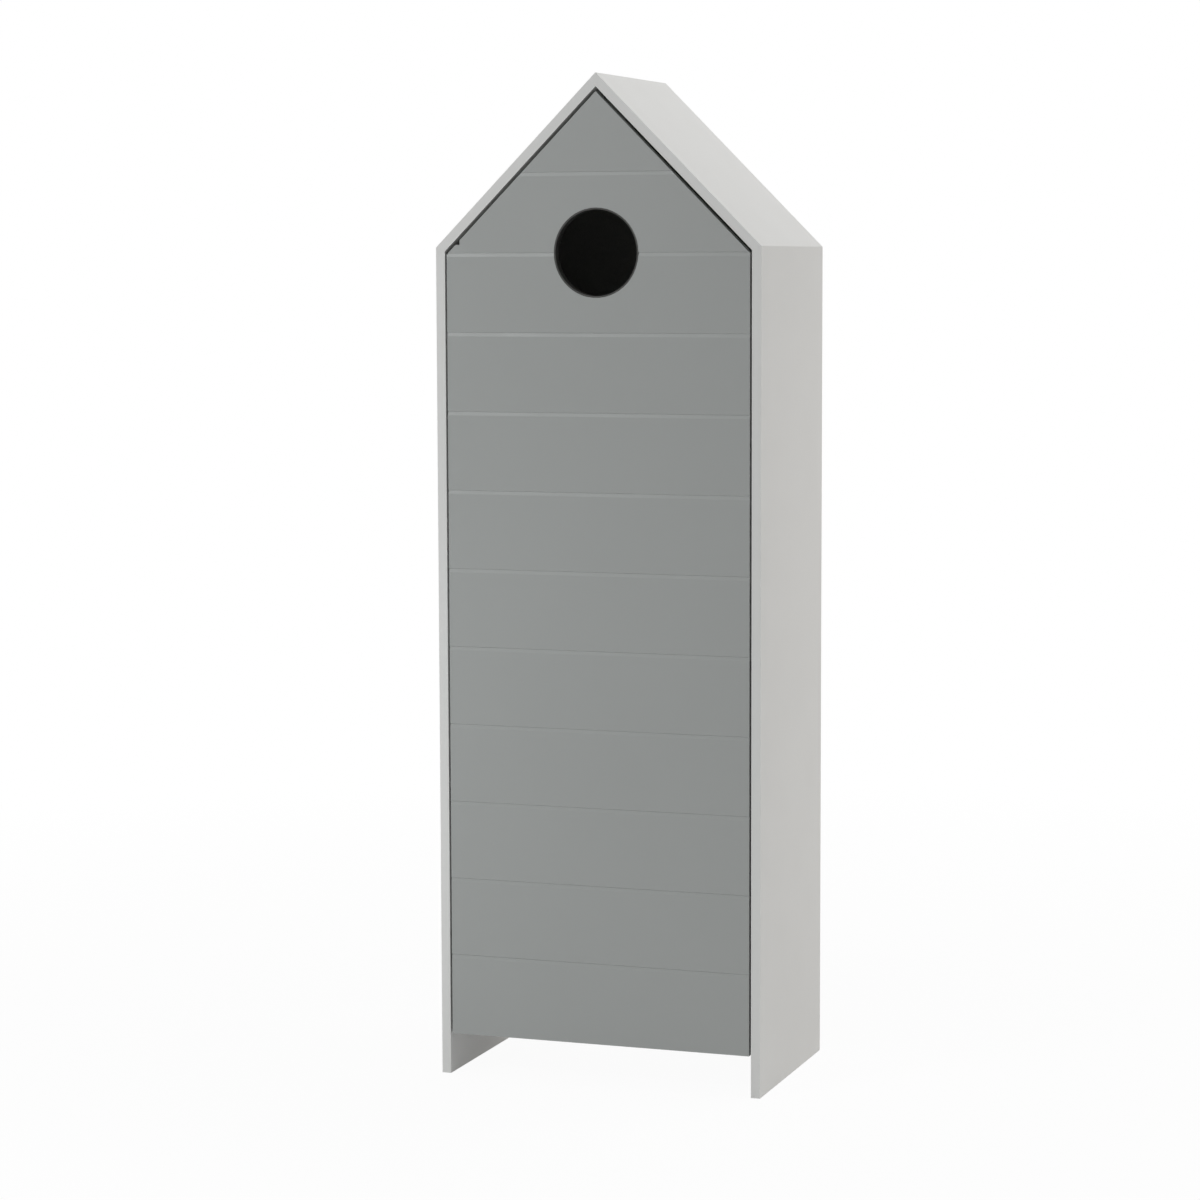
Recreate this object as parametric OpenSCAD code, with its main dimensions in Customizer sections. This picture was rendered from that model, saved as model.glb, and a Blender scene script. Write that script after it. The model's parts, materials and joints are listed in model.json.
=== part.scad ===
// Children's cabinet bookcase shaped like a beach hut: two side panels and two mitred roof boards,
// an inset plank door with a round finger hole on cranked pivot hinges, and shelves on cam fittings.
// Millimetres. The origin is on the floor under the middle of the cabinet, the door faces -Y, Z is up.

/* [Cabinet] */
// Overall width across the two side panels
cabinet_w = 576; // [500:1:700]
// Overall depth from the door face to the rear edges
cabinet_d = 370; // [300:1:460]
// Height of the side panels up to the eaves
side_h = 1427; // [1300:1:1560]
// Slope of the roof boards in degrees
roof_pitch = 45; // [38:1:50]
// Thickness of the side panels, roof boards and shelves
board_t = 16; // [15:0.5:20]
// Height of the open space under the bottom board
leg_h = 71; // [50:1:100]
// Drop from the eaves to the top face of the highest shelf
top_shelf_drop = 112; // [98:1:150]

/* [Back panel] */
// Thickness of the back panel
back_t = 3; // [2.5:0.5:5]
// Distance from the rear edges to the back panel
back_inset = 10; // [6:1:16]
// Depth of the groove that holds the back panel
back_groove_depth = 6; // [4:0.5:7]

/* [Door] */
// Thickness of the door
door_t = 16; // [15:0.5:18]
// Gap between the door and each side panel
door_side_gap = 3.5; // [3:0.1:4.5]
// Gap between the door and the roof boards
door_roof_gap = 6; // [5:0.5:8]
// Height of the lowest plank
first_plank_h = 139; // [110:0.1:160]
// Height of each plank above it, from groove to groove
plank_h = 134.1; // [110:0.1:160]
// Width of a plank groove at the door face
groove_w = 6.8; // [4:0.1:9]
// Depth of a plank groove
groove_depth = 1.4; // [0.8:0.1:2.4]
// Diameter of the round finger hole
hole_d = 150; // [100:1:160]
// Drop from the eaves to the centre of the finger hole
hole_drop = 10; // [0:1:16]
// Wall thickness of the liner in the finger hole
liner_wall = 3; // [2:0.5:5]
// Width of the flange of the liner behind the door
liner_flange_w = 5; // [3:0.5:8]
// Thickness of the flange of the liner
liner_flange_t = 1.5; // [1:0.25:3]

/* [Hinges] */
// Distance from the edge of the door to the hinge pin
pivot_edge = 15.5; // [15.2:0.1:18]
// Diameter of the hinge pin
pin_d = 3; // [2.5:0.1:3.5]
// Thickness of the cranked hinge arm
arm_t = 3.4; // [2.8:0.1:4]
// Height of the cranked hinge arm
arm_h = 9.4; // [7:0.1:12]
// Length of the foot of the hinge arm
arm_foot_l = 34; // [30:1:50]
// Height of the hinge housing
housing_h = 32; // [28:1:36]
// Thickness of the door left in front of the hinge housing
door_skin = 3; // [2.8:0.1:3.6]
// Height of a hinge above the middle of its bay
hinge_rise = 12; // [0:1:20]

/* [Fittings] */
// Diameter of the wood dowels in the shelves
dowel_d = 8; // [6:0.5:8]
// Length of the wood dowels in the shelves
dowel_l = 30; // [25:1:40]
// Diameter of the cam locks
cam_d = 15; // [12:0.5:15]
// Distance from the shelf end to the centre of a cam lock
cam_reach = 33; // [24:1:40]
// Thickness of the steel angle brackets
bracket_t = 2; // [1.5:0.1:3]
// Width of the steel angle brackets
bracket_w = 20; // [14:1:30]
// Length of each leg of the angle brackets
bracket_leg = 38; // [32:1:50]
// Distance between the two wall screws
wall_screws_w = 360; // [240:1:420]
// Diameter of the wall screw holes
wall_hole_d = 5.5; // [4:0.5:7]

/* [Hidden] */
$fn = 64;

// Colours of the pieces
white_paint = [0.93, 0.93, 0.92];
grey_paint = [0.58, 0.59, 0.60];
dark_board = [0.12, 0.12, 0.12];
black_plastic = [0.08, 0.08, 0.08];
steel = [0.72, 0.73, 0.75];
zinc = [0.62, 0.63, 0.64];
beech = [0.80, 0.66, 0.48];

// Clearances
cut_over = 1;             // how far a cutting shape runs past the face that it cuts
bore_clear = 0.05;        // round pieces in their bores, per side
seat_clear = 0.2;         // boards and plates in their grooves and pockets, per side
run_clear = 0.3;          // pieces that pass each other with the door
sweep_clear = 2;          // shelf fronts behind the swinging edge of the door

// Carcass
half_w = cabinet_w / 2;
front_y = -cabinet_d / 2;
rear_y = cabinet_d / 2;
side_in = half_w - board_t;
ridge_z = side_h + half_w * tan(roof_pitch);
board_drop = board_t / cos(roof_pitch);
ridge_in_z = ridge_z - board_drop;
eave_in_z = roof_in_z(side_in, 0);
slope_in_l = side_in / cos(roof_pitch);
back_rear_y = rear_y - back_inset;
back_front_y = back_rear_y - back_t;
back_side = side_in + back_groove_depth - seat_clear;
// Height of the inner roof faces at a distance x from the middle, moved outwards by grow
function roof_in_z(x, grow) = ridge_in_z - abs(x) * tan(roof_pitch) + grow / cos(roof_pitch);

// Door and hinge axis, measured from the inner face of the left side and from the door face
door_half_w = side_in - door_side_gap;
hole_z = side_h - hole_drop;
door_top_z = roof_in_z(0, -door_roof_gap);
housing_v = door_skin + seat_clear / 2;
housing_floor = 1;
arm_eye_r = 3;
pivot_v = housing_v + housing_floor + run_clear + arm_eye_r;
pivot_u = door_side_gap + pivot_edge;
edge_sweep = norm([pivot_edge, door_t - pivot_v]);
bevel_share = 0.84;       // the wide bevel's part of a plank groove
liner_r = hole_d / 2;

// Shelves
shelf_n = 4;
board_front_y = front_y + pivot_v + edge_sweep + sweep_clear;
board_rear_y = back_front_y;
board_len = board_rear_y - board_front_y;
bottom_top_z = leg_h + board_t;
top_shelf_z = side_h - top_shelf_drop;
shelf_pitch = (top_shelf_z - bottom_top_z) / shelf_n;
function board_z(i) = bottom_top_z + i * shelf_pitch;
function bay_z(i) = board_z(i) + (shelf_pitch - board_t) / 2 + hinge_rise;
// Places of the fittings along a shelf end, as shares of its depth
cam_shares = [0.14, 0.86];
dowel_shares = [0.25, 0.75];

// Cam bolts and cam locks
bolt_anchor_l = 11;
bolt_anchor_d = 5;
bolt_collar_d = 7;
bolt_collar_l = 3;
bolt_neck_d = 4.4;
bolt_head_d = 6.4;
bolt_head_l = 3;
bolt_bore_d = 8;
cam_h = 12.5;
cam_pocket_w = 7.4;
cam_slot_w = 1.6;
cam_slot_l = 9;
cam_slot_depth = 2.5;
dowel_in_side = 10;

// Roof fittings
mitre_dowel_d = 6;
mitre_dowel_l = 12;
mitre_dowel_shares = [0.12, 0.5, 0.88];
bracket_shares = [0.24, 0.76];
bracket_hole_shares = [0.42, 0.8];

// Screws
screw_d = 3.2;
screw_hole_d = 3.9;
screw_head_d = 6.8;
screw_head_h = 2.2;
screw_slot_w = 1;
screw_slot_depth = 0.9;
short_screw_l = 10;
back_screw_l = 17;
back_screw_shares = [-0.8, 0, 0.8];

// Hinge parts
plate_t = 3;
plate_w = 16;
plate_l = 46;
plate_screws_l = 32;
plate_body_w = 16;
arm_bend_r = 3;
stem_clear = 2.5;
bend_v = pivot_v + pivot_edge + stem_clear;
cross_v = bend_v + arm_bend_r;
foot_v = cross_v + arm_t + arm_bend_r;
plate_v = foot_v + arm_foot_l / 2;
arm_screw_d = 4;
arm_screw_head_d = 7.4;
arm_screw_head_h = 2.4;
housing_web = 4;
slot_u = pivot_u + arm_eye_r + 2 * run_clear;
housing_end_u = slot_u + housing_web;
housing_start_u = door_side_gap + run_clear;
flange_t = 1.2;
flange_l = 20;
pin_short = 1;
pin_h = housing_h - 2 * pin_short;

// Door catches
catch_w = 13;
catch_l = 34;
catch_h = 18;
catch_ear_t = 1.6;
catch_ear_h = 11;
catch_ear_l = 14;
pole_t = 1.6;
pole_out = 0.6;
pole_gap = 5;
strike_t = 1.2;
strike_w = 14;
strike_h = 24;
strike_edge = 2;
strike_hole_share = 0.34;
catch_v = door_t + strike_t + run_clear + pole_out;

// Wall brackets
wall_leg_h = 38;
wall_hole_rise = 25;
wall_leg_l = 40;
wall_screw_shares = [0.35, 0.72];

// Shared shapes

// Extrudes a drawing in X and Z from y0 to y1
module along_y(y0, y1) {
    translate([0, y1, 0]) rotate([90, 0, 0]) linear_extrude(height = y1 - y0) children();
}

// A cylinder along local X from x0 to x1
module x_rod(x0, x1, r) {
    translate([x0, 0, 0]) rotate([0, 90, 0]) cylinder(h = x1 - x0, r = r);
}

// A quarter of a ring in the first quadrant, t wide, with the inner radius r
module quarter_ring(r, t) {
    intersection() {
        difference() {
            circle(r = r + t);
            circle(r = r);
        }
        square(r + t);
    }
}

module both_sides() {
    children();
    mirror([1, 0, 0]) children();
}

// A pan-head screw along local Z: the head stands on z = 0, the shank goes down by l
module pan_screw(l, d = screw_d, head_d = screw_head_d, head_h = screw_head_h) {
    translate([0, 0, -l]) cylinder(h = l, r = d / 2);
    difference() {
        intersection() {
            cylinder(h = head_h, r = head_d / 2);
            translate([0, 0, head_h - head_d]) sphere(r = head_d);
        }
        screw_cross(head_d, head_h);
    }
}

// The cross recess of a screw head
module screw_cross(head_d, head_h) {
    for (turn = [0, 90])
        rotate([0, 0, turn])
            translate([-head_d / 4, -screw_slot_w / 2, head_h - screw_slot_depth])
                cube([head_d / 2, screw_slot_w, screw_slot_depth + cut_over]);
}

// The pilot hole of a screw, below z = 0
module pilot(l, d = screw_d) {
    translate([0, 0, -l - seat_clear]) cylinder(h = l + seat_clear + cut_over, r = d / 2 + bore_clear);
}

// Local Z points into the cabinet from the inner face of the right roof board
module on_roof(from_ridge, y, rise) {
    translate([from_ridge * cos(roof_pitch), y, ridge_in_z - from_ridge * sin(roof_pitch)])
        rotate([0, 180 + roof_pitch, 0])
            translate([0, 0, rise]) children();
}

// Local Z points into the cabinet from the inner face of the right side panel
module on_side(y, z, rise) {
    translate([side_in - rise, y, z]) rotate([0, -90, 0]) children();
}

function share_y(share) = front_y + share * cabinet_d;
function shelf_y(share) = board_front_y + share * board_len;

// Outline of the back panel, grown all round, down to z0
module back_outline(grow, z0) {
    reach = back_side + grow;
    edge = back_side - side_in + grow;
    polygon([[-reach, z0], [reach, z0], [reach, roof_in_z(reach, edge)],
        [0, roof_in_z(0, edge)], [-reach, roof_in_z(reach, edge)]]);
}

module back_groove() {
    along_y(back_front_y - seat_clear, back_rear_y + seat_clear) back_outline(seat_clear, -cut_over);
}

// Shelf fittings

// Local X points into a shelf from its end, at the places ys along the depth
module at_shelf_ends(i, shares) {
    for (s = [-1, 1], share = shares)
        translate([s * side_in, shelf_y(share), board_z(i) - board_t / 2])
            rotate([0, 0, s > 0 ? 180 : 0]) children();
}

module cam_bolt() {
    x_rod(-bolt_anchor_l, 0, bolt_anchor_d / 2);
    x_rod(0, bolt_collar_l, bolt_collar_d / 2);
    x_rod(0, cam_reach - bolt_head_l, bolt_neck_d / 2);
    x_rod(cam_reach - bolt_head_l, cam_reach, bolt_head_d / 2);
}

module cam_bolt_hole() {
    x_rod(-bolt_anchor_l - seat_clear, cut_over, bolt_anchor_d / 2 + bore_clear);
}

module cam_lock() {
    pocket_end = cam_reach + seat_clear;
    difference() {
        translate([cam_reach, 0, -board_t / 2]) cylinder(h = cam_h, r = cam_d / 2);
        translate([cam_reach - cam_d, -cam_pocket_w / 2, -cam_pocket_w / 2])
            cube([pocket_end - cam_reach + cam_d, cam_pocket_w, cam_pocket_w]);
        translate([cam_reach, 0, -board_t / 2])
            for (turn = [0, 90])
                rotate([0, 0, turn])
                    translate([-cam_slot_l / 2, -cam_slot_w / 2, -cut_over])
                        cube([cam_slot_l, cam_slot_w, cam_slot_depth + cut_over]);
    }
}

module cam_bores() {
    x_rod(-cut_over, cam_reach, bolt_bore_d / 2);
    translate([cam_reach, 0, -board_t / 2 - cut_over])
        cylinder(h = cam_h + seat_clear + cut_over, r = cam_d / 2 + bore_clear);
}

module shelf_dowel(grow = 0) {
    x_rod(-dowel_in_side - 2 * grow, dowel_l - dowel_in_side + 2 * grow, dowel_d / 2 + grow);
}

// Roof fittings

module eave_dowels(grow = 0) {
    for (share = mitre_dowel_shares)
        translate([half_w - board_t / 2, share_y(share), (side_h + eave_in_z) / 2])
            rotate([0, -roof_pitch / 2, 0])
                cylinder(h = mitre_dowel_l + 4 * grow, r = mitre_dowel_d / 2 + grow, center = true);
}

module ridge_dowels(grow = 0) {
    for (share = mitre_dowel_shares)
        translate([0, share_y(share), ridge_z - board_drop / 2])
            rotate([0, 90, 0])
                cylinder(h = mitre_dowel_l + 4 * grow, r = mitre_dowel_d / 2 + grow, center = true);
}

module at_ridge_holes(rise) {
    for (y_share = bracket_shares, share = bracket_hole_shares)
        on_roof(share * bracket_leg, share_y(y_share), rise) children();
}

module at_eave_roof_holes(rise) {
    for (y_share = bracket_shares, share = bracket_hole_shares)
        on_roof(slope_in_l - share * bracket_leg, share_y(y_share), rise) children();
}

module at_eave_side_holes(rise) {
    for (y_share = bracket_shares, share = bracket_hole_shares)
        on_side(share_y(y_share), eave_in_z - share * bracket_leg, rise) children();
}

// Shelf boards

module board(i) {
    color(white_paint) difference() {
        translate([-side_in, board_front_y, board_z(i) - board_t])
            cube([2 * side_in, board_len, board_t]);
        at_shelf_ends(i, cam_shares) cam_bores();
        at_shelf_ends(i, dowel_shares) shelf_dowel(bore_clear);
        at_back_screws(i) pilot(back_screw_l);
        if (i == shelf_n) at_wall_bracket_screws() pilot(short_screw_l);
    }
}

module bottom_board() { board(0); }
module shelf_1() { board(1); }
module shelf_2() { board(2); }
module shelf_3() { board(3); }
module shelf_4() { board(4); }

// Side panels

module side_panel(left) {
    color(white_paint) difference() {
        mirror([left ? 1 : 0, 0, 0]) along_y(front_y, rear_y)
            polygon([[side_in, 0], [half_w, 0], [half_w, side_h], [side_in, eave_in_z]]);
        back_groove();
        for (i = [0:shelf_n]) {
            at_shelf_ends(i, cam_shares) cam_bolt_hole();
            at_shelf_ends(i, dowel_shares) shelf_dowel(bore_clear);
        }
        mirror([left ? 1 : 0, 0, 0]) {
            eave_dowels(bore_clear);
            at_eave_side_holes(bracket_t) pilot(short_screw_l);
        }
        if (left) at_plate_screws() pilot(short_screw_l);
        else at_catch_screws() pilot(short_screw_l);
    }
}

module side_left() { side_panel(true); }
module side_right() { side_panel(false); }

// Roof boards

module roof_board(left) {
    color(white_paint) mirror([left ? 1 : 0, 0, 0]) difference() {
        along_y(front_y, rear_y)
            polygon([[half_w, side_h], [0, ridge_z], [0, ridge_in_z], [side_in, eave_in_z]]);
        back_groove();
        eave_dowels(bore_clear);
        ridge_dowels(bore_clear);
        at_ridge_holes(bracket_t) pilot(short_screw_l);
        at_eave_roof_holes(bracket_t) pilot(short_screw_l);
    }
}

module roof_left() { roof_board(true); }
module roof_right() { roof_board(false); }

// Back panel

module at_back_screws(i) {
    for (share = back_screw_shares)
        translate([share * side_in, back_rear_y, board_z(i) - board_t / 2])
            rotate([-90, 0, 0]) children();
}

module at_wall_holes() {
    for (s = [-1, 1])
        translate([s * wall_screws_w / 2, 0, top_shelf_z + wall_hole_rise])
            rotate([-90, 0, 0]) children();
}

module wall_hole() {
    translate([0, 0, back_front_y - bracket_t - cut_over])
        cylinder(h = bracket_t + back_t + 2 * cut_over, r = wall_hole_d / 2);
}

module back_panel() {
    color(dark_board) difference() {
        along_y(back_front_y, back_rear_y) back_outline(0, leg_h);
        for (i = [0:shelf_n]) at_back_screws(i) pilot(back_screw_l);
        at_wall_holes() wall_hole();
    }
}

module back_screws() {
    color(steel) for (i = [0:shelf_n]) at_back_screws(i) pan_screw(back_screw_l);
}

// Cam bolts, cam locks and dowels

module cam_bolts() {
    color(steel) for (i = [0:shelf_n]) at_shelf_ends(i, cam_shares) cam_bolt();
}

module cam_locks() {
    color(zinc) for (i = [0:shelf_n]) at_shelf_ends(i, cam_shares) cam_lock();
}

module shelf_dowels() {
    color(beech) for (i = [0:shelf_n]) at_shelf_ends(i, dowel_shares) shelf_dowel();
}

module roof_dowels() {
    color(beech) {
        both_sides() eave_dowels();
        ridge_dowels();
    }
}

// Angle brackets under the ridge and in the eaves

module ridge_brackets() {
    end = [bracket_leg * cos(roof_pitch), ridge_in_z - bracket_leg * sin(roof_pitch)];
    end_in = end - bracket_t * [sin(roof_pitch), cos(roof_pitch)];
    color(steel) difference() {
        for (share = bracket_shares)
            along_y(share_y(share) - bracket_w / 2, share_y(share) + bracket_w / 2)
                polygon([[0, ridge_in_z], end, end_in, [0, ridge_in_z - bracket_t / cos(roof_pitch)],
                    [-end_in[0], end_in[1]], [-end[0], end[1]]]);
        both_sides() at_ridge_holes(-cut_over)
            cylinder(h = bracket_t + 2 * cut_over, r = screw_hole_d / 2);
    }
}

module eave_bracket_outline() {
    corner = [side_in, eave_in_z];
    up = corner + bracket_leg * [-cos(roof_pitch), sin(roof_pitch)];
    up_in = up - bracket_t * [sin(roof_pitch), cos(roof_pitch)];
    fold_drop = bracket_t * cos(roof_pitch) / (1 + sin(roof_pitch));
    polygon([corner, up, up_in, corner - [bracket_t, fold_drop],
        [side_in - bracket_t, eave_in_z - bracket_leg], [side_in, eave_in_z - bracket_leg]]);
}

module eave_brackets() {
    color(steel) both_sides() difference() {
        for (share = bracket_shares)
            along_y(share_y(share) - bracket_w / 2, share_y(share) + bracket_w / 2)
                eave_bracket_outline();
        at_eave_roof_holes(-cut_over) cylinder(h = bracket_t + 2 * cut_over, r = screw_hole_d / 2);
        at_eave_side_holes(-cut_over) cylinder(h = bracket_t + 2 * cut_over, r = screw_hole_d / 2);
    }
}

module bracket_screws() {
    color(steel) both_sides() {
        at_ridge_holes(bracket_t) pan_screw(short_screw_l);
        at_eave_roof_holes(bracket_t) pan_screw(short_screw_l);
        at_eave_side_holes(bracket_t) pan_screw(short_screw_l);
    }
}

// Hinges. In a hinge's own frame X runs from the inner face of the left side to the right,
// Y runs from the door face to the rear, and Z is measured from the middle of the hinge.

module at_hinges() {
    for (i = [0:shelf_n - 1]) translate([-side_in, front_y, bay_z(i)]) children();
}

module at_plate_screws() {
    at_hinges() for (s = [-1, 1])
        translate([plate_t, plate_v, s * plate_screws_l / 2]) rotate([0, 90, 0]) children();
}

module at_arm_screws() {
    at_hinges() translate([plate_t + arm_t, plate_v, 0]) rotate([0, 90, 0]) children();
}

// Butterfly mounting plate on the side panel
module hinge_plates() {
    color(steel) difference() {
        at_hinges() {
            translate([0, plate_v - plate_w / 2, -plate_l / 2 + plate_w / 2])
                cube([plate_t, plate_w, plate_l - plate_w]);
            for (s = [-1, 1])
                translate([0, plate_v, s * (plate_l - plate_w) / 2]) x_rod(0, plate_t, plate_w / 2);
            translate([0, foot_v, -plate_body_w / 2]) cube([plate_t, arm_foot_l, plate_body_w]);
        }
        at_plate_screws() translate([0, 0, -plate_t - cut_over])
            cylinder(h = plate_t + 2 * cut_over, r = screw_hole_d / 2);
        at_arm_screws() pilot(arm_t + plate_t + cut_over, arm_screw_d);
    }
}

module hinge_plate_screws() {
    color(steel) at_plate_screws() pan_screw(short_screw_l);
}

module arm_outline() {
    translate([pivot_u, pivot_v]) circle(r = arm_eye_r);
    translate([pivot_u - arm_t / 2, pivot_v]) square([arm_t, bend_v - pivot_v]);
    translate([pivot_u - arm_t / 2 - arm_bend_r, bend_v]) quarter_ring(arm_bend_r, arm_t);
    foot_bend_u = plate_t + arm_t + arm_bend_r;
    translate([foot_bend_u, cross_v])
        square([pivot_u - arm_t / 2 - arm_bend_r - foot_bend_u, arm_t]);
    translate([foot_bend_u, foot_v]) rotate(180) quarter_ring(arm_bend_r, arm_t);
    translate([plate_t, foot_v]) square([arm_t, arm_foot_l]);
}

// Cranked arm that reaches round the swinging edge of the door to the pin
module hinge_arms() {
    color(zinc) difference() {
        at_hinges() linear_extrude(height = arm_h, center = true) difference() {
            arm_outline();
            translate([pivot_u, pivot_v]) circle(r = pin_d / 2 + bore_clear);
        }
        at_arm_screws() pilot(arm_t, arm_screw_d);
    }
}

module hinge_arm_screws() {
    color(steel) at_arm_screws()
        pan_screw(arm_t + plate_t, arm_screw_d, arm_screw_head_d, arm_screw_head_h);
}

// The block of a hinge housing that is let into the rear edge of the door
module housing_block(grow) {
    translate([housing_start_u - grow, housing_v - grow / 2, -housing_h / 2 - grow])
        cube([housing_end_u - housing_start_u + 2 * grow, door_t - housing_v + grow,
            housing_h + 2 * grow]);
}

module at_housing_screws() {
    at_hinges() for (s = [-1, 1])
        translate([housing_end_u + flange_l / 2, door_t + flange_t, s * housing_h / 4])
            rotate([-90, 0, 0]) children();
}

module hinge_housings() {
    slot_h = arm_h + 2 * run_clear;
    color(zinc) difference() {
        at_hinges() {
            housing_block(0);
            translate([pivot_u - arm_eye_r, door_t, -housing_h / 2])
                cube([housing_end_u - pivot_u + arm_eye_r + flange_l, flange_t, housing_h]);
        }
        at_hinges() {
            translate([housing_start_u - cut_over, housing_v + housing_floor, -slot_h / 2])
                cube([slot_u - housing_start_u + cut_over, door_t, slot_h]);
            translate([pivot_u, pivot_v, 0])
                cylinder(h = housing_h + 2 * cut_over, r = pin_d / 2 + bore_clear, center = true);
        }
        at_housing_screws() translate([0, 0, -flange_t - cut_over])
            cylinder(h = flange_t + 2 * cut_over, r = screw_hole_d / 2);
    }
}

module hinge_pins() {
    color(steel) at_hinges() translate([pivot_u, pivot_v, 0])
        cylinder(h = pin_h, r = pin_d / 2, center = true);
}

module hinge_housing_screws() {
    color(steel) at_housing_screws() pan_screw(short_screw_l);
}

// Door

// Each plank has a wide bevel along its top edge, which ends in a short one under the next plank
module plank_grooves() {
    mouth = groove_w * (1 + cut_over / groove_depth);
    for (z = [leg_h + first_plank_h:plank_h:door_top_z - plank_h / 2])
        translate([0, front_y, z]) rotate([90, 0, 90])
            linear_extrude(height = cabinet_w, center = true)
                polygon([[-cut_over, (1 - bevel_share) * mouth], [groove_depth, 0],
                    [-cut_over, -bevel_share * mouth]]);
}

module door() {
    color(grey_paint) difference() {
        along_y(front_y, front_y + door_t)
            polygon([[-door_half_w, leg_h], [door_half_w, leg_h],
                [door_half_w, roof_in_z(door_half_w, -door_roof_gap)], [0, door_top_z],
                [-door_half_w, roof_in_z(door_half_w, -door_roof_gap)]]);
        plank_grooves();
        translate([0, front_y - cut_over, hole_z]) rotate([-90, 0, 0])
            cylinder(h = door_t + 2 * cut_over, r = liner_r + bore_clear);
        at_hinges() door_notch();
        swing_relief();
        at_housing_screws() pilot(short_screw_l);
        at_strike_screws() pilot(short_screw_l);
    }
}

// The corner notch in the rear edge of the door that takes a hinge housing
module door_notch() {
    translate([0, door_skin, -housing_h / 2 - seat_clear])
        cube([housing_end_u + seat_clear, door_t, housing_h + 2 * seat_clear]);
}

// The step in the sloping edge above the hinge axis, which passes under the roof when the door is open
module swing_relief() {
    step_x = -side_in + pivot_u + door_roof_gap / sin(roof_pitch) - pivot_v - 2 * run_clear;
    translate([step_x, front_y - cut_over, roof_in_z(step_x, -door_roof_gap)])
        cube([-side_in + pivot_u + pivot_v + 2 * run_clear - step_x, door_t + 2 * cut_over, door_t]);
}

// Collar of the finger hole, pushed in from behind, with its flange against the rear face
module hole_liner() {
    color(black_plastic) translate([0, front_y, hole_z]) rotate([-90, 0, 0]) difference() {
        union() {
            cylinder(h = door_t + liner_flange_t, r = liner_r);
            translate([0, 0, door_t]) cylinder(h = liner_flange_t, r = liner_r + liner_flange_w);
        }
        translate([0, 0, -cut_over])
            cylinder(h = door_t + liner_flange_t + 2 * cut_over, r = liner_r - liner_wall);
    }
}

// Magnetic catches on the right side panel and strike plates on the door

module at_catches() {
    for (i = [1:2:shelf_n - 1]) translate([side_in, front_y, bay_z(i)]) children();
}

module at_catch_screws() {
    at_catches() for (s = [-1, 1])
        translate([-catch_ear_t, catch_v + catch_l / 2, s * (catch_h + catch_ear_h) / 2])
            rotate([0, -90, 0]) children();
}

module magnet_catches() {
    color(black_plastic) difference() {
        at_catches() {
            translate([-catch_w, catch_v, -catch_h / 2]) cube([catch_w, catch_l, catch_h]);
            translate([-catch_ear_t, catch_v + (catch_l - catch_ear_l) / 2,
                -catch_h / 2 - catch_ear_h])
                cube([catch_ear_t, catch_ear_l, catch_h + 2 * catch_ear_h]);
            for (s = [-1, 1])
                translate([-(catch_w + pole_t) / 2 + s * pole_gap / 2, catch_v - pole_out,
                    -catch_h / 2 + pole_t])
                    cube([pole_t, pole_out + pole_t, catch_h - 2 * pole_t]);
        }
        at_catch_screws() translate([0, 0, -catch_ear_t - cut_over])
            cylinder(h = catch_ear_t + 2 * cut_over, r = screw_hole_d / 2);
    }
}

module catch_screws() {
    color(steel) at_catch_screws() pan_screw(short_screw_l);
}

module at_strike_screws() {
    at_catches() for (s = [-1, 1])
        translate([-door_side_gap - strike_edge - strike_w / 2, door_t + strike_t,
            s * strike_h * strike_hole_share + s * strike_h / 2])
            rotate([-90, 0, 0]) children();
}

module strike_plates() {
    tall = strike_h * (1 + 4 * strike_hole_share);
    color(steel) difference() {
        at_catches() translate([-door_side_gap - strike_edge - strike_w, door_t, -tall / 2])
            cube([strike_w, strike_t, tall]);
        at_strike_screws() translate([0, 0, -strike_t - cut_over])
            cylinder(h = strike_t + 2 * cut_over, r = screw_hole_d / 2);
    }
}

module strike_screws() {
    color(steel) at_strike_screws() pan_screw(short_screw_l);
}

// Wall brackets on the top shelf

module at_wall_bracket_screws() {
    for (s = [-1, 1], share = wall_screw_shares)
        translate([s * wall_screws_w / 2, board_rear_y - share * wall_leg_l,
            top_shelf_z + bracket_t]) children();
}

module wall_brackets() {
    color(steel) difference() {
        for (s = [-1, 1])
            translate([s * wall_screws_w / 2 - bracket_w / 2, board_rear_y - wall_leg_l,
                top_shelf_z]) {
                cube([bracket_w, wall_leg_l, bracket_t]);
                translate([0, wall_leg_l - bracket_t, 0]) cube([bracket_w, bracket_t, wall_leg_h]);
            }
        at_wall_bracket_screws() translate([0, 0, -bracket_t - cut_over])
            cylinder(h = bracket_t + 2 * cut_over, r = screw_hole_d / 2);
        at_wall_holes() wall_hole();
    }
}

module wall_bracket_screws() {
    color(steel) at_wall_bracket_screws() pan_screw(short_screw_l);
}

side_left();
side_right();
roof_left();
roof_right();
bottom_board();
shelf_1();
shelf_2();
shelf_3();
shelf_4();
back_panel();
back_screws();
cam_bolts();
cam_locks();
shelf_dowels();
roof_dowels();
ridge_brackets();
eave_brackets();
bracket_screws();
hinge_plates();
hinge_plate_screws();
hinge_arms();
hinge_arm_screws();
hinge_housings();
hinge_pins();
hinge_housing_screws();
door();
hole_liner();
magnet_catches();
catch_screws();
strike_plates();
strike_screws();
wall_brackets();
wall_bracket_screws();
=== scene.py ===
import json
import math

import bpy
from mathutils import Matrix, Vector

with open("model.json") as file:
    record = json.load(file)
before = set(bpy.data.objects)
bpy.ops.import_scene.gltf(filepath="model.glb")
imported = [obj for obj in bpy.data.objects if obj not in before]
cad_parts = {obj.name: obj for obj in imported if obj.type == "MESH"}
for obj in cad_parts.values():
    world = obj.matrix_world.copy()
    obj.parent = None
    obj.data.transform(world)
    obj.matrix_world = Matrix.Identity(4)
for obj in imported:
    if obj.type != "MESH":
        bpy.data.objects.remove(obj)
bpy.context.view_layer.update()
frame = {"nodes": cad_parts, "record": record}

MM = 0.001

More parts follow.
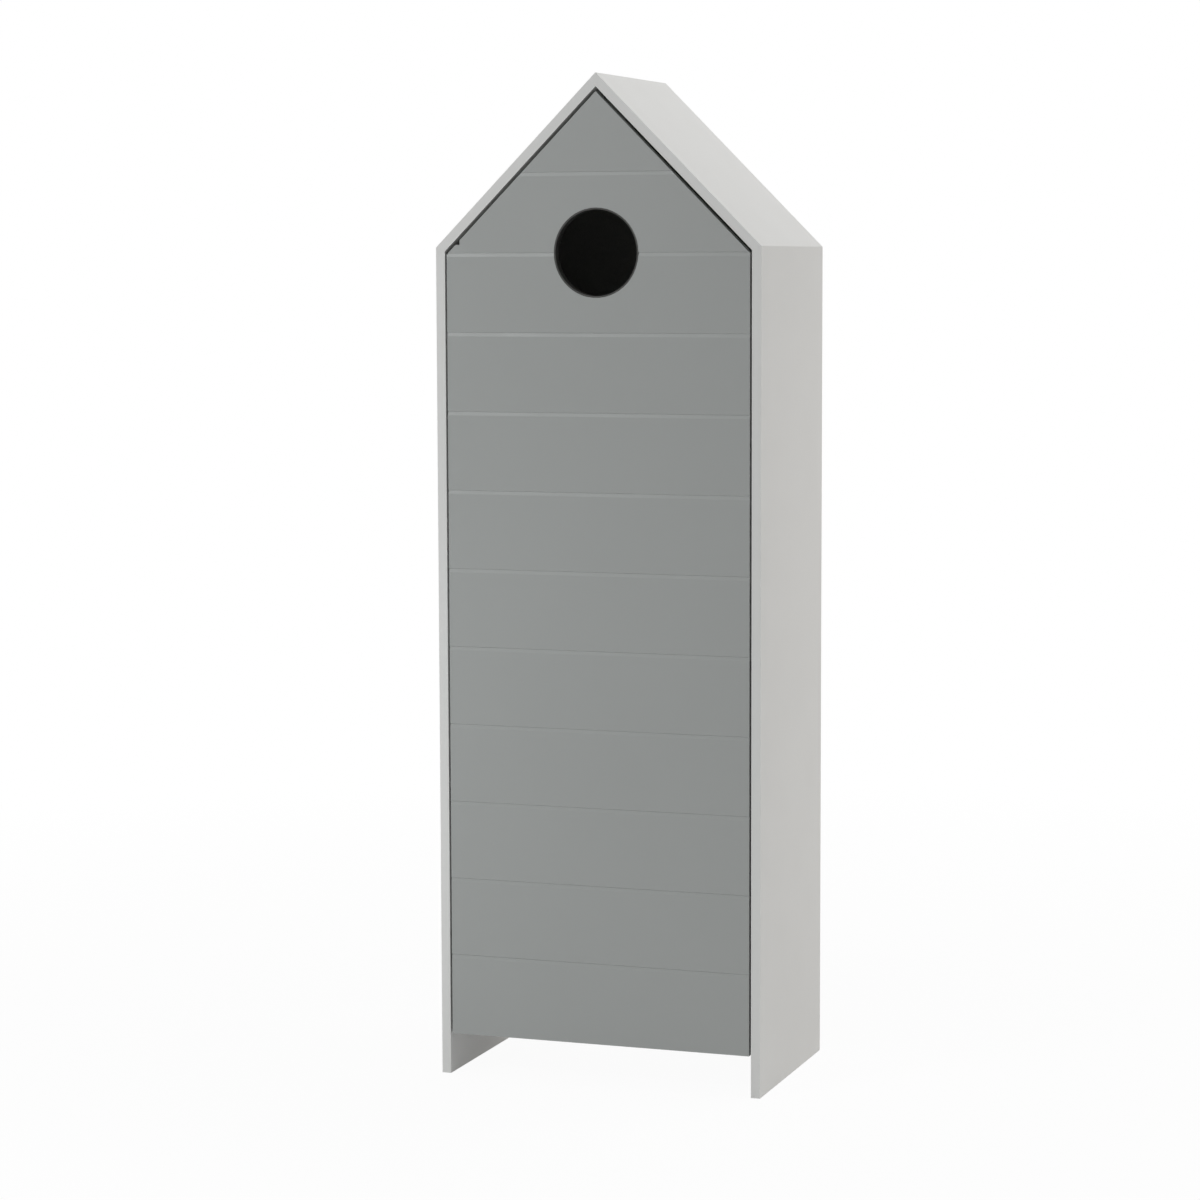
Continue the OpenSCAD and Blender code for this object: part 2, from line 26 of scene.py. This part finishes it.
# Camera at the photograph's viewing angle: its place in metres, its turns in degrees,
# and its lens and sensor in millimetres
CAMERA_PLACE = (1.875, -5.456, 1.400)
CAMERA_AZIMUTH = 19.53
CAMERA_PITCH = -5.77
CAMERA_ROLL = -0.18
CAMERA_LENS = 100.05
SENSOR = 36.0
# Turn about X that lifts a camera from looking straight down to looking level
LEVEL_TURN = 90

# Colours as linear values, with alpha in the last two
WHITE_LACQUER = (0.72, 0.72, 0.705)
GREY_LACQUER = (0.352, 0.364, 0.356)
# The back board's near-black tone is painted shade: it stands in for the shade inside the cabinet, seen
# through the door's hole
PAINTED_SHADE_BOARD = (0.125, 0.126, 0.118)
BLACK_PLASTIC = (0.026, 0.026, 0.024)
PLATED_STEEL = (0.74, 0.74, 0.75)
CAST_ZINC = (0.60, 0.61, 0.62)
BEECH_LIGHT = (0.62, 0.44, 0.27)
BEECH_DARK = (0.44, 0.28, 0.15)
FLOOR_TONE = (0.90, 0.90, 0.90, 1.0)
PLAIN_WHITE = (1.0, 1.0, 1.0, 1.0)

# Factors that take a colour to the other end of its drift
FIBRE_LIFT = 1.7
MOULD_LIFT = 1.6
STEEL_SHADE = 0.82
ZINC_SHADE = 0.8

# Dull metal scatters part of the light, so it isn't a pure mirror
DULL_METALLIC = 0.72

# Noise scales of the lacquer, from a slow drift of the tone to the orange peel
DRIFT_SCALE = 2.3
SHEEN_SCALE = 14.0
SWELL_SCALE = 45.0
PEEL_SCALE = 620.0

# Noise scales of the other finishes, with one for each axis where the grain has a direction
FIBRE_SCALES = (900.0, 900.0, 240.0)
MOULD_TONE_SCALE = 60.0
MOULD_GRAIN_SCALE = 1500.0
STEEL_TONE_SCALE = 160.0
STEEL_LINE_SCALES = (300.0, 300.0, 4200.0)
ZINC_TONE_SCALE = 90.0
ZINC_PEBBLE_SCALE = 1100.0
BEECH_SCALES = (60.0, 900.0, 900.0)

# Radius to which the factory eases the edges of each kind of piece, in metres
EASED = {"white_board": 0.9 * MM, "grey_door": 0.7 * MM, "black_plastic": 0.35 * MM, "zinc": 0.3 * MM}
EDGE_SEGMENTS = 2
# Edges that turn by more than this are eased
SHARP_ANGLE = math.radians(35)
# Points nearer than this, in metres, are joined before the edges are eased
WELD_REACH = 0.01 * MM

# Floor: half its width, the share of plain white beside the object, and the distances, in metres,
# at which that share starts to rise and at which the floor is all white
FLOOR_REACH = 30.0
WHITE_NEAR = 0.95
SHADOW_NEAR = 0.8
SHADOW_REACH = 3.2

# Strengths of the world: as the light on the object, and as the white that the camera and reflections see
AMBIENT = 0.30
BACKDROP = 1.0

# Softboxes: place, point that each faces, width, height, power in watts and colour
SOFTBOXES = {
    "top_softbox": ((0.9, 0.5, 4.4), (0.1, 0.0, 1.2), 3.0, 3.0, 57.0, (1.0, 1.0, 1.0)),
    "key_softbox": ((-1.9, -3.4, 3.1), (-0.1, -0.2, 1.2), 0.8, 0.8, 33.0, (0.975, 0.992, 1.0)),
    "front_softbox": ((-1.5, -1.8, 0.30), (-0.25, -0.2, 0.35), 0.9, 0.7, 11.6, (0.97, 0.992, 1.0)),
    "side_softbox": ((2.5, 1.8, 0.7), (0.29, 0.1, 0.7), 1.4, 2.0, 20.5, (1.0, 0.945, 0.875)),
}
# The only softbox that the finishes mirror
MIRRORED_SOFTBOX = "key_softbox"


def add_camera():
    data = bpy.data.cameras.new("camera")
    data.lens = CAMERA_LENS
    data.sensor_width = SENSOR
    camera = bpy.data.objects.new("camera", data)
    bpy.context.scene.collection.objects.link(camera)
    camera.matrix_world = (
        Matrix.Translation(CAMERA_PLACE)
        @ Matrix.Rotation(math.radians(CAMERA_AZIMUTH), 4, "Z")
        @ Matrix.Rotation(math.radians(LEVEL_TURN + CAMERA_PITCH), 4, "X")
        @ Matrix.Rotation(math.radians(CAMERA_ROLL), 4, "Z")
    )
    bpy.context.scene.camera = camera


add_camera()
bpy.context.scene.view_settings.view_transform = "Standard"


class Shader:
    """A material's node tree, with short calls for the nodes that the finishes share."""

    def __init__(self, name):
        self.material = bpy.data.materials.new(name)
        self.material.use_nodes = True
        self.tree = self.material.node_tree
        self.tree.nodes.clear()
        self.output = self.tree.nodes.new("ShaderNodeOutputMaterial")
        self.coords = self.tree.nodes.new("ShaderNodeTexCoord").outputs["Object"]

    def node(self, kind, **inputs):
        made = self.tree.nodes.new(kind)
        for key, value in inputs.items():
            self.feed(made.inputs[key.replace("_", " ")], value)
        return made

    def feed(self, socket, value):
        if isinstance(value, bpy.types.NodeSocket):
            self.tree.links.new(value, socket)
        else:
            socket.default_value = value

    def noise(self, scale, detail=3.0, roughness=0.5, vector=None):
        made = self.node("ShaderNodeTexNoise", Scale=scale, Detail=detail, Roughness=roughness,
                         Vector=vector or self.coords)
        return made.outputs["Fac"]

    def stretched_noise(self, scales, detail, roughness=0.5):
        """Noise with a scale of its own along each axis."""
        mapping = self.node("ShaderNodeMapping", Vector=self.coords, Scale=scales)
        return self.noise(scale=1.0, detail=detail, roughness=roughness, vector=mapping.outputs["Vector"])

    def ranged(self, value, low=0.0, high=1.0, start=0.3, end=0.7):
        """Spreads the value's stretch from start to end over low to high."""
        made = self.node("ShaderNodeMapRange", Value=value, From_Min=start, From_Max=end,
                         To_Min=low, To_Max=high)
        return made.outputs["Result"]

    def mixed(self, factor, first, second):
        """Blends two colours. The Mix node's sockets share their names, so numbers tell them apart."""
        made = self.tree.nodes.new("ShaderNodeMix")
        made.data_type = "RGBA"
        self.feed(made.inputs[0], factor)
        self.feed(made.inputs[6], (*first, 1.0))
        self.feed(made.inputs[7], (*second, 1.0))
        return made.outputs[2]

    def bumped(self, height, strength, distance, **base):
        """Relief by height, on top of the relief that the call passes as Normal, where it passes one."""
        made = self.node("ShaderNodeBump", Height=height, Strength=strength, Distance=distance, **base)
        return made.outputs["Normal"]

    def either(self, factor, first, second):
        """The first surface where the factor is 0, and the second where it is 1."""
        made = self.tree.nodes.new("ShaderNodeMixShader")
        self.feed(made.inputs[0], factor)
        self.feed(made.inputs[1], first)
        self.feed(made.inputs[2], second)
        return made.outputs[0]

    def cover(self, surface):
        self.feed(self.output.inputs["Surface"], surface)
        return self.material

    def finish(self, **inputs):
        return self.cover(self.node("ShaderNodeBsdfPrincipled", **inputs).outputs["BSDF"])

    def grained(self, grain, tone, rough, strength, depth, metallic=0.0):
        """A finish whose one grain sets both the roughness, over the span rough, and the relief."""
        return self.finish(Base_Color=tone, Metallic=metallic, Roughness=self.ranged(grain, *rough),
                           Normal=self.bumped(grain, strength, depth))


def shaded(colour, share):
    return tuple(channel * share for channel in colour)


def lacquer(name, colour, tone_spread, rough):
    """Sprayed satin lacquer on board: a fine orange peel, and a tone that drifts a little."""
    shader = Shader(name)
    drift = shader.ranged(shader.noise(DRIFT_SCALE, detail=2.0))
    tone = shader.mixed(drift, shaded(colour, 1 - tone_spread), shaded(colour, 1 + tone_spread))
    sheen = shader.ranged(shader.noise(SHEEN_SCALE, detail=4.0), *rough)
    peel = shader.bumped(shader.noise(PEEL_SCALE, detail=2.0), strength=0.10, distance=0.15 * MM)
    waves = shader.noise(SWELL_SCALE, detail=1.0)
    swell = shader.bumped(waves, strength=0.04, distance=0.3 * MM, Normal=peel)
    return shader.finish(Base_Color=tone, Roughness=sheen, Normal=swell)


def painted_shade_fibreboard():
    """Hardboard with felted fibres and a dull face, in a near-black tone that is painted shade, so that
    the view through the door's hole reads black.
    """
    shader = Shader("fibreboard_painted_shade")
    fibres = shader.stretched_noise(FIBRE_SCALES, detail=5.0, roughness=0.65)
    # Painted shade: the board's near-black tone makes the inside behind the door's hole read dark
    tone = shader.mixed(shader.ranged(fibres), PAINTED_SHADE_BOARD, shaded(PAINTED_SHADE_BOARD, FIBRE_LIFT))
    return shader.grained(fibres, tone, rough=(0.82, 0.95), strength=0.25, depth=0.2 * MM)


def moulded_plastic():
    """Spark-eroded mould grain on plastic."""
    shader = Shader("black_plastic")
    grain = shader.noise(MOULD_GRAIN_SCALE, detail=2.0)
    cloud = shader.ranged(shader.noise(MOULD_TONE_SCALE))
    tone = shader.mixed(cloud, BLACK_PLASTIC, shaded(BLACK_PLASTIC, MOULD_LIFT))
    return shader.grained(grain, tone, rough=(0.45, 0.58), strength=0.18, depth=0.08 * MM)


def plated_steel():
    """Zinc plating with drawing lines and a slight cloudiness."""
    shader = Shader("plated_steel")
    lines = shader.stretched_noise(STEEL_LINE_SCALES, detail=3.0)
    cloud = shader.ranged(shader.noise(STEEL_TONE_SCALE, detail=4.0))
    tone = shader.mixed(cloud, shaded(PLATED_STEEL, STEEL_SHADE), PLATED_STEEL)
    return shader.grained(lines, tone, rough=(0.34, 0.48), strength=0.06, depth=0.05 * MM,
                          metallic=DULL_METALLIC)


def cast_zinc():
    """Tumbled die casting: a soft pebbled skin."""
    shader = Shader("cast_zinc")
    pebble = shader.noise(ZINC_PEBBLE_SCALE, detail=3.0, roughness=0.6)
    cloud = shader.ranged(shader.noise(ZINC_TONE_SCALE))
    tone = shader.mixed(cloud, shaded(CAST_ZINC, ZINC_SHADE), CAST_ZINC)
    return shader.grained(pebble, tone, rough=(0.44, 0.56), strength=0.22, depth=0.06 * MM,
                          metallic=DULL_METALLIC)


def beech():
    """Turned beech with short dark flecks. The grain runs along all dowels but those at the eaves."""
    shader = Shader("beech")
    grain = shader.stretched_noise(BEECH_SCALES, detail=4.0, roughness=0.6)
    tone = shader.mixed(shader.ranged(grain), BEECH_DARK, BEECH_LIGHT)
    return shader.grained(grain, tone, rough=(0.55, 0.7), strength=0.2, depth=0.1 * MM)


# Finish of each material slot in the record
FINISHES = {
    "white_board": lacquer("white_lacquer", WHITE_LACQUER, tone_spread=0.012, rough=(0.40, 0.45)),
    "grey_door": lacquer("grey_lacquer", GREY_LACQUER, tone_spread=0.016, rough=(0.36, 0.41)),
    # The dark back board is painted shade: its near-black tone stands in for the shaded inside of the
    # cabinet
    "dark_back": painted_shade_fibreboard(),
    "black_plastic": moulded_plastic(),
    "steel": plated_steel(),
    "zinc": cast_zinc(),
    "beech": beech(),
}


def dress_nodes():
    """Gives each node the finish of its slot in the record, and eases the sharp edges of the nodes whose
    slot is in EASED.
    """
    for part in frame["record"]["subparts"]:
        node = frame["nodes"][part["node"]]
        slot = part["material_slot"]
        node.data.materials.clear()
        node.data.materials.append(FINISHES[slot])
        if slot in EASED:
            ease_edges(node, EASED[slot])


def ease_edges(node, radius):
    weld = node.modifiers.new("weld", "WELD")
    weld.merge_threshold = WELD_REACH
    bevel = node.modifiers.new("eased_edges", "BEVEL")
    bevel.width = radius
    bevel.segments = EDGE_SEGMENTS
    bevel.limit_method = "ANGLE"
    bevel.angle_limit = SHARP_ANGLE
    bevel.harden_normals = True


def add_floor():
    """A plain pale floor: near white to the camera, with a soft contact shadow, and clear from below."""
    mesh = bpy.data.meshes.new("studio_floor")
    corners = [(-FLOOR_REACH, -FLOOR_REACH, 0), (FLOOR_REACH, -FLOOR_REACH, 0),
               (FLOOR_REACH, FLOOR_REACH, 0), (-FLOOR_REACH, FLOOR_REACH, 0)]
    mesh.from_pydata(corners, [], [(0, 1, 2, 3)])
    floor = bpy.data.objects.new("studio_floor", mesh)
    bpy.context.scene.collection.objects.link(floor)
    floor.data.materials.append(floor_finish())


def floor_finish():
    shader = Shader("studio_floor")
    distance = shader.node("ShaderNodeVectorMath", Vector=shader.coords)
    distance.operation = "LENGTH"
    whiteness = shader.ranged(distance.outputs["Value"], low=WHITE_NEAR, high=1.0,
                              start=SHADOW_NEAR, end=SHADOW_REACH)
    share = combined(shader.tree, "MULTIPLY", seen_directly(shader.tree), whiteness)
    lit = shader.node("ShaderNodeBsdfDiffuse", Color=FLOOR_TONE)
    glow = shader.node("ShaderNodeEmission", Color=PLAIN_WHITE)
    top_face = shader.either(share, lit.outputs[0], glow.outputs[0])
    from_below = shader.node("ShaderNodeNewGeometry").outputs["Backfacing"]
    clear = shader.node("ShaderNodeBsdfTransparent").outputs[0]
    return shader.cover(shader.either(from_below, top_face, clear))


def seen_directly(tree):
    """1 for camera, glossy and transmission rays, and 0 for the scattered rays that light the object."""
    path = tree.nodes.new("ShaderNodeLightPath")
    value = path.outputs["Is Camera Ray"]
    for name in ("Is Glossy Ray", "Is Transmission Ray"):
        value = combined(tree, "MAXIMUM", value, path.outputs[name])
    return value


def combined(tree, operation, first, second):
    made = tree.nodes.new("ShaderNodeMath")
    made.operation = operation
    tree.links.new(first, made.inputs[0])
    tree.links.new(second, made.inputs[1])
    return made.outputs[0]


def add_world():
    """A dim even light on the object, and plain white behind it and in its reflections."""
    world = bpy.data.worlds.new("studio")
    bpy.context.scene.world = world
    world.use_nodes = True
    tree = world.node_tree
    tree.nodes.clear()
    output = tree.nodes.new("ShaderNodeOutputWorld")
    mix = tree.nodes.new("ShaderNodeMixShader")
    tree.links.new(seen_directly(tree), mix.inputs[0])
    for socket, strength in ((mix.inputs[1], AMBIENT), (mix.inputs[2], BACKDROP)):
        light = tree.nodes.new("ShaderNodeBackground")
        light.inputs["Color"].default_value = PLAIN_WHITE
        light.inputs["Strength"].default_value = strength
        tree.links.new(light.outputs[0], socket)
    tree.links.new(mix.outputs[0], output.inputs["Surface"])


def add_softboxes():
    for name, (place, target, width, height, power, colour) in SOFTBOXES.items():
        data = bpy.data.lights.new(name, "AREA")
        data.shape = "RECTANGLE"
        data.size = width
        data.size_y = height
        data.energy = power
        data.color = colour
        lamp = bpy.data.objects.new(name, data)
        bpy.context.scene.collection.objects.link(lamp)
        away = Vector(place) - Vector(target)
        lamp.matrix_world = Matrix.Translation(place) @ away.to_track_quat("Z", "Y").to_matrix().to_4x4()
        lamp.visible_glossy = name == MIRRORED_SOFTBOX


dress_nodes()
add_floor()
add_world()
add_softboxes()
